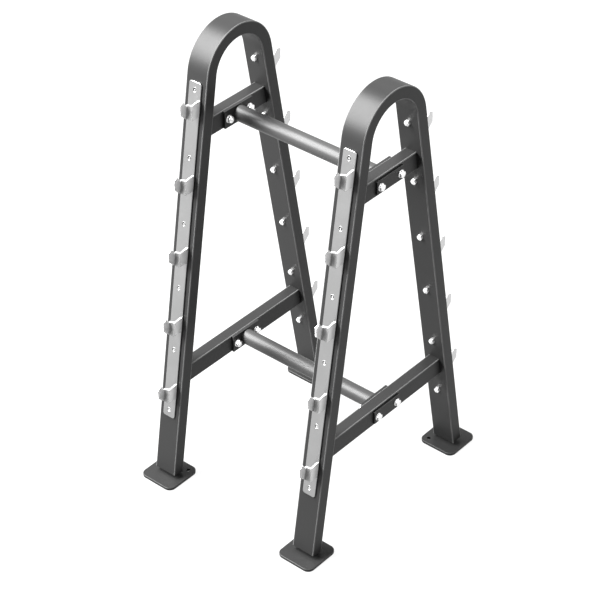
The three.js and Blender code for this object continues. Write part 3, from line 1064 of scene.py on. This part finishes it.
    def hook_tab(self, sizes):
        """One tab: a flat blank folded twice, with its edges broken."""
        bm = new_bmesh()
        blank = flat_polygon(bm, self.outline(sizes))
        thicken(bm, [blank], sizes.hook_thickness)
        for bend in (sizes.hook_arm, sizes.hook_arm + sizes.hook_joggle):
            geom = bm.verts[:] + bm.edges[:] + bm.faces[:]
            bmesh.ops.bisect_plane(bm, geom=geom, plane_co=(bend, 0, 0), plane_no=(1, 0, 0), dist=WELD)
        for vert in bm.verts:
            x, out = self.fold(sizes, vert.co.x, sizes.hook_thickness / 2 - vert.co.z)
            vert.co = (x, out, vert.co.y)
        bmesh.ops.recalc_face_normals(bm, faces=bm.faces[:])
        break_edges(bm, sharp_edges(bm, self.broken_angle), self.hook_edge, self.edge_steps)
        self.mark_tab(bm, sizes)
        return bm

    def mark_tab(self, bm, sizes):
        """The whole tab is painted lighter than the strip as a painted reflection, and the step's outer
        face is painted darker as shade the more squarely it faces out from the leg.
        """
        tab = bm.faces.layers.float["tab"]
        painted_shade = bm.faces.layers.float["painted_shade"]
        end = sizes.hook_arm + sizes.hook_thickness
        for face in bm.faces:
            on_step = face.normal.y > self.step_facing and face.calc_center_median().y < end
            face[tab] = 1
            face[painted_shade] = face.normal.y ** 2 if on_step else 0


# Stage

class RACK_OT_stage(bpy.types.Operator):
    """Sets the floor, the backdrop, the lamps and the camera"""

    bl_idname = "rack.stage"
    bl_label = "Stage"
    picture = 600
    focal_pixels = 2100
    azimuth = math.radians(41.22)
    pitch = math.radians(36.22)
    roll = math.radians(-0.86)
    camera_place = (3.3457, -3.8541, 4.3550)
    sensor = 36
    far_clip = 100
    ambient = 0.25
    floor_tone = 0.1
    floor_glow = 0.9
    floor_reach = 8
    aim = (0, 0, 0.9)
    # Each lamp's name, place, size, turn in degrees and power in watts
    lamps = (
        ("key", (-3.33, -2.95, 5.37), (2.4, 7.0), 40, 3050),
        ("back", (-2.6, 3.4, 4.6), (2.4, 2.4), 0, 30),
        ("rim", (4.2, 1.0, 3.9), (0.8, 4.0), 0, 180),
    )

    def execute(self, context):
        scene = context.scene
        scene.view_settings.view_transform = "Standard"
        self.add_camera(scene)
        self.add_world(scene)
        self.add_floor(scene)
        self.add_lamps(scene)
        return {"FINISHED"}

    def add_camera(self, scene):
        data = bpy.data.cameras.new("camera")
        data.sensor_width = self.sensor
        data.lens = self.sensor * self.focal_pixels / self.picture
        data.clip_end = self.far_clip
        camera = bpy.data.objects.new("camera", data)
        turn = Matrix.Rotation(self.azimuth, 4, "Z") @ Matrix.Rotation(math.pi / 2 - self.pitch, 4, "X")
        camera.matrix_world = (
            Matrix.Translation(self.camera_place) @ turn @ Matrix.Rotation(self.roll, 4, "Z"))
        scene.collection.objects.link(camera)
        scene.camera = camera

    def add_world(self, scene):
        world = bpy.data.worlds.new("studio")
        world.use_nodes = True
        tree = world.node_tree
        tree.nodes.clear()
        seen = add_node(tree, "ShaderNodeBackground", Color=grey(1.0), Strength=1.0)
        light = add_node(tree, "ShaderNodeBackground", Color=grey(1.0), Strength=self.ambient)
        mix = tree.nodes.new("ShaderNodeMixShader")
        fill_sockets(tree, mix.inputs, (self.background_rays(tree), light.outputs[0], seen.outputs[0]))
        add_node(tree, "ShaderNodeOutputWorld", Surface=mix.outputs[0])
        scene.world = world

    def background_rays(self, tree):
        """Gives 1 for the rays that show the background: straight on, in gloss or through glass."""
        rays = tree.nodes.new("ShaderNodeLightPath").outputs
        gloss = math_node(tree, "MAXIMUM", rays["Is Glossy Ray"], rays["Is Transmission Ray"])
        return math_node(tree, "MAXIMUM", rays["Is Camera Ray"], gloss)

    def add_floor(self, scene):
        bm = bmesh.new()
        bmesh.ops.create_grid(bm, x_segments=1, y_segments=1, size=self.floor_reach)
        mesh = bpy.data.meshes.new("floor")
        bm.to_mesh(mesh)
        bm.free()
        floor = bpy.data.objects.new("floor", mesh)
        scene.collection.objects.link(floor)
        material, tree, shader = new_material("floor_white")
        shader.inputs["Base Color"].default_value = grey(self.floor_tone)
        shader.inputs["Roughness"].default_value = 1.0
        shader.inputs["Specular IOR Level"].default_value = 0.0
        shader.inputs["Emission Color"].default_value = grey(1.0)
        glow = math_node(tree, "MULTIPLY", self.background_rays(tree), self.floor_glow)
        tree.links.new(glow, shader.inputs["Emission Strength"])
        mesh.materials.append(material)

    def add_lamps(self, scene):
        for name, place, (width, height), turn, power in self.lamps:
            data = bpy.data.lights.new(name, "AREA")
            data.shape = "RECTANGLE"
            data.size = width
            data.size_y = height
            data.energy = power
            lamp = bpy.data.objects.new(name, data)
            aim = Vector(self.aim) - Vector(place)
            facing = aim.to_track_quat("-Z", "Y").to_matrix().to_4x4()
            lamp.matrix_world = (
                Matrix.Translation(place) @ facing @ Matrix.Rotation(math.radians(turn), 4, "Z"))
            scene.collection.objects.link(lamp)


class RACK_PT_panel(bpy.types.Panel):
    """Lists the rack's sizes, finishes and steps"""

    bl_idname = "RACK_PT_panel"
    bl_label = "Barbell Storage Rack"
    bl_space_type = "VIEW_3D"
    bl_region_type = "UI"
    bl_category = "Rack"

    def draw(self, context):
        column = self.layout.column()
        for group in (context.scene.rack_sizes, context.scene.rack_looks):
            for name in group.__annotations__:
                column.prop(group, name)
        for step in STEPS:
            column.operator(step.bl_idname)


STEPS = (
    RACK_OT_stage,
    RACK_OT_arch_tubes,
    RACK_OT_crossbars,
    RACK_OT_base_plates,
    RACK_OT_tie_tubes,
    RACK_OT_bolted_plates,
    RACK_OT_tie_bolts,
    RACK_OT_hook_strips,
    RACK_OT_strip_screws,
)
CLASSES = (RackSizes, RackLooks, *STEPS, RACK_PT_panel)


def register():
    for cls in CLASSES:
        bpy.utils.register_class(cls)
    bpy.types.Scene.rack_sizes = PointerProperty(type=RackSizes)
    bpy.types.Scene.rack_looks = PointerProperty(type=RackLooks)


def unregister():
    del bpy.types.Scene.rack_sizes
    del bpy.types.Scene.rack_looks
    for cls in reversed(CLASSES):
        bpy.utils.unregister_class(cls)


def main():
    register()
    for step in STEPS:
        family, action = step.bl_idname.split(".")
        getattr(getattr(bpy.ops, family), action)()


if __name__ == "__main__":
    main()
